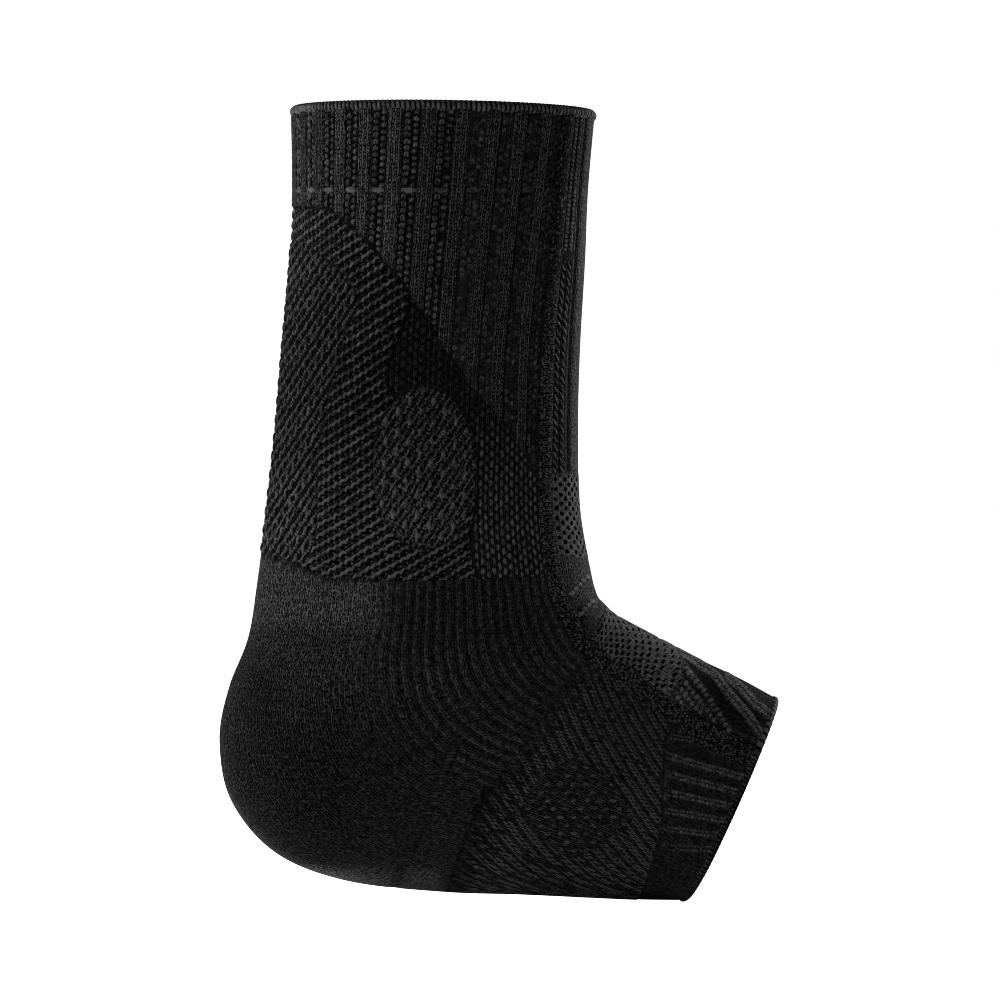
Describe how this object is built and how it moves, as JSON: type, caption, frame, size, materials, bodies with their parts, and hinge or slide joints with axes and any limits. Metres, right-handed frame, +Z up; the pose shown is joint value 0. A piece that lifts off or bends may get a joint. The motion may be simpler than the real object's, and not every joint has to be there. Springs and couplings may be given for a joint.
{
  "type": "achilles tendon support",
  "caption": "Knitted elastic ankle sleeve that supports the Achilles tendon, with a ribbed cuff, raised massage knit, closed heel pocket, mesh instep and open ribbed toe.",
  "frame": {"origin": "heel seat: the point on the inside of the sole under the axis of the leg, where the wearer's heel bears", "axes": "+Z up the leg, +X to the toes, +Y to the wearer's left"},
  "size_m": [0.145, 0.0824, 0.2065],
  "materials": {
    "black_knit": "matte black elastic knit with a fine stocking stitch",
    "relief_knit": "matte black knit with slanted rows of raised stitches",
    "front_knit": "black knit with open mesh patches a shade lighter",
    "edge_yarn": "black twisted yarn of seams and bound edges"
  },
  "bodies": {
    "root": {"top_binding": "edge_yarn", "ribbed_cuff": "black_knit", "leg_sleeve": "relief_knit", "shin_panel": "front_knit", "heel_cup": "black_knit", "foot_sleeve": "relief_knit", "instep_panel": "front_knit", "toe_band": "black_knit", "toe_binding": "edge_yarn", "seam_right": "edge_yarn", "seam_left": "edge_yarn"}
  },
  "joints": []
}
